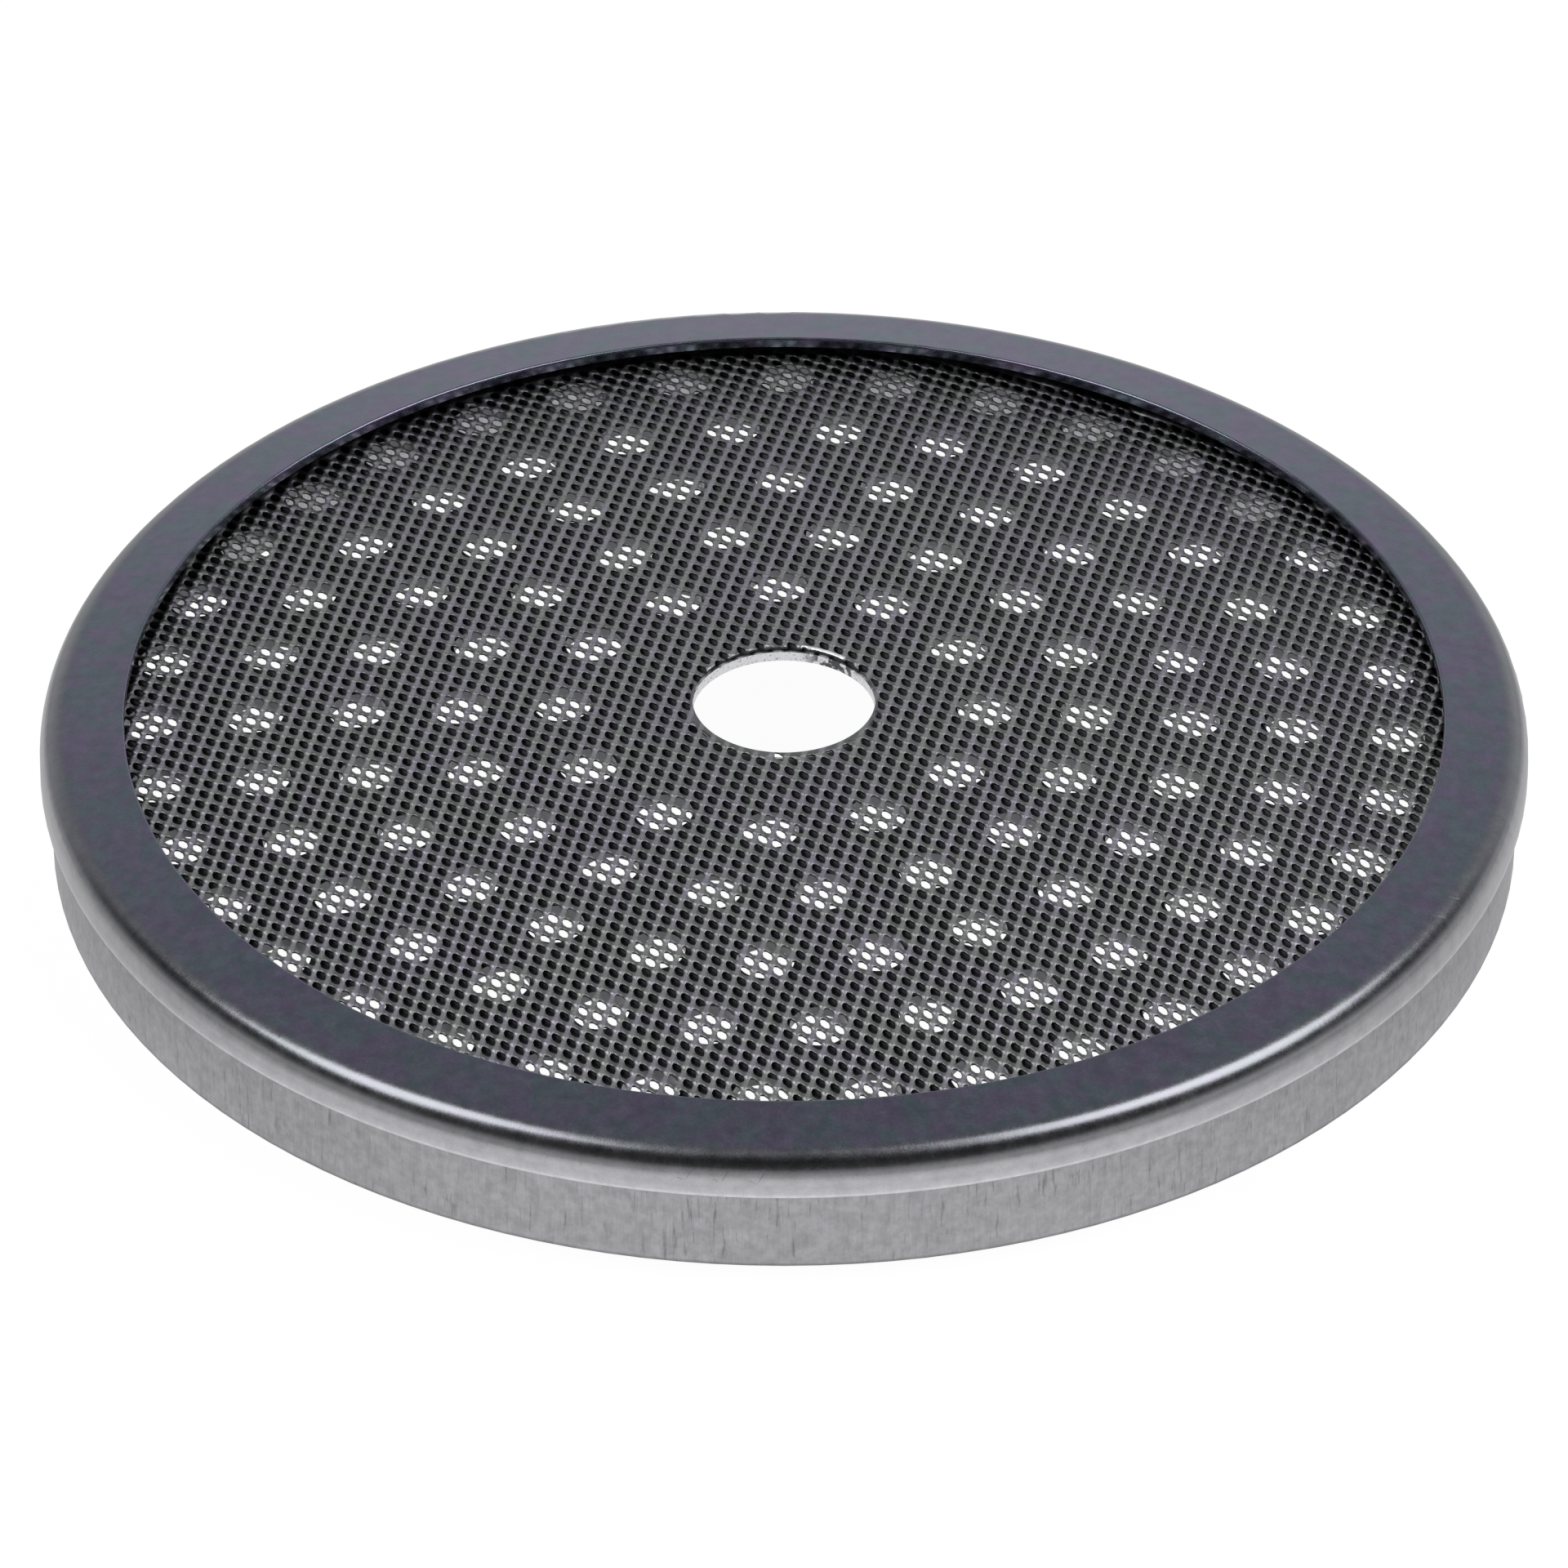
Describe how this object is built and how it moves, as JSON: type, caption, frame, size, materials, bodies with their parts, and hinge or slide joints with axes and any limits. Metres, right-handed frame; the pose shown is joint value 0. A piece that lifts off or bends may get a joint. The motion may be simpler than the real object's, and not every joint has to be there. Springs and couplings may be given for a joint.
{
  "type": "espresso shower screen",
  "caption": "Round metal shower screen with a domed drilled cup, a fine perforated sheet over it, a crimped rim ring and a centre screw hole.",
  "frame": {"origin": "centre of the skirt's foot, in the plane on which the part stands", "axes": "+Z along the common axis of cup, sheet and ring, from the open side of the cup towards the fine sheet; X to the right and Y away from the viewer as in the picture"},
  "size_m": [0.057, 0.057, 0.0061],
  "materials": {
    "cup_steel": "drawn sheet steel, fine upright drawing marks on the skirt",
    "screen_steel": "satin, finely perforated sheet",
    "ring_steel": "satin pressed sheet steel"
  },
  "bodies": {
    "root": {"drilled_cup": "cup_steel", "fine_screen": "screen_steel", "rim_ring": "ring_steel"}
  },
  "joints": []
}
